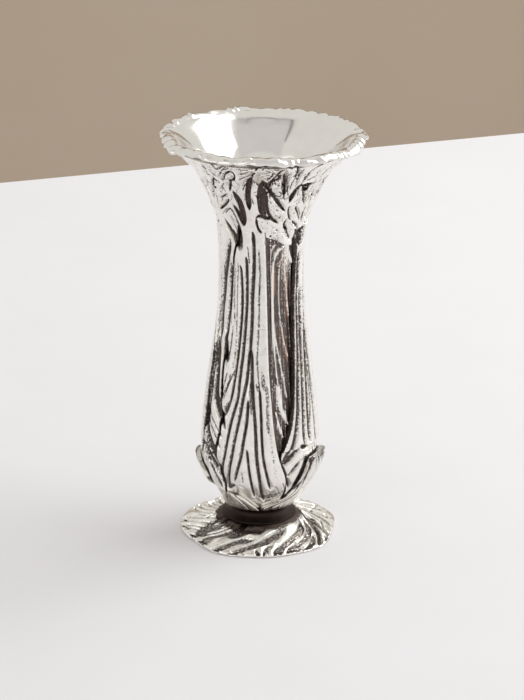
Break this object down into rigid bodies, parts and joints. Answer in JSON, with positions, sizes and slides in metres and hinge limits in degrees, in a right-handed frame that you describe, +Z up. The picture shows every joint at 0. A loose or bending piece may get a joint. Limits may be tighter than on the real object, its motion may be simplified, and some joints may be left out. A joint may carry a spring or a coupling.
{
  "type": "trumpet vase",
  "caption": "Small footed bud vase formed as a bunch of ribbed celery stalks, with leaf sprays under a lobed, beaten trumpet bowl and a swirled foot.",
  "frame": {"origin": "middle of the ring that the foot stands on, on the table plane", "axes": "+Z up through the vase's own axis; the front of the picture is -Y, its right is +X"},
  "size_m": [0.073, 0.0729, 0.15],
  "materials": {
    "cast_silver": "cast silver, ribs polished bright, grooves darkened",
    "fixing_steel": "turned steel",
    "tube_brass": "drawn brass, dull",
    "beaten_silver": "beaten silver, mirror polished",
    "stalk_silver": "chased silver, ribs polished, grooves blackened",
    "inner_stalk_silver": "silver left dark, with brown tarnish",
    "sheath_silver": "silver, finely striped",
    "leaf_silver": "silver, veined and stippled, gaps blackened"
  },
  "bodies": {
    "root": {"foot": "cast_silver", "neck": "cast_silver", "foot_stud": "fixing_steel", "foot_washer": "fixing_steel", "foot_nut": "fixing_steel", "water_tube": "tube_brass", "tube_bottom": "tube_brass", "throat_sleeve": "tube_brass", "trumpet_bowl": "beaten_silver", "front_stalk": "stalk_silver", "left_stalk": "stalk_silver", "back_left_stalk": "stalk_silver", "back_stalk": "stalk_silver", "back_right_stalk": "stalk_silver", "right_stalk": "stalk_silver", "inner_front_right_stalk": "inner_stalk_silver", "inner_back_right_stalk": "inner_stalk_silver", "inner_back_stalk": "inner_stalk_silver", "inner_back_left_stalk": "inner_stalk_silver", "inner_front_left_stalk": "inner_stalk_silver", "right_sheath": "sheath_silver", "front_sheath": "sheath_silver", "left_sheath": "sheath_silver", "back_sheath": "sheath_silver", "front_left_spray": "leaf_silver", "front_right_spray": "leaf_silver", "right_spray": "leaf_silver", "back_right_spray": "leaf_silver", "back_left_spray": "leaf_silver", "left_spray": "leaf_silver"}
  },
  "joints": []
}
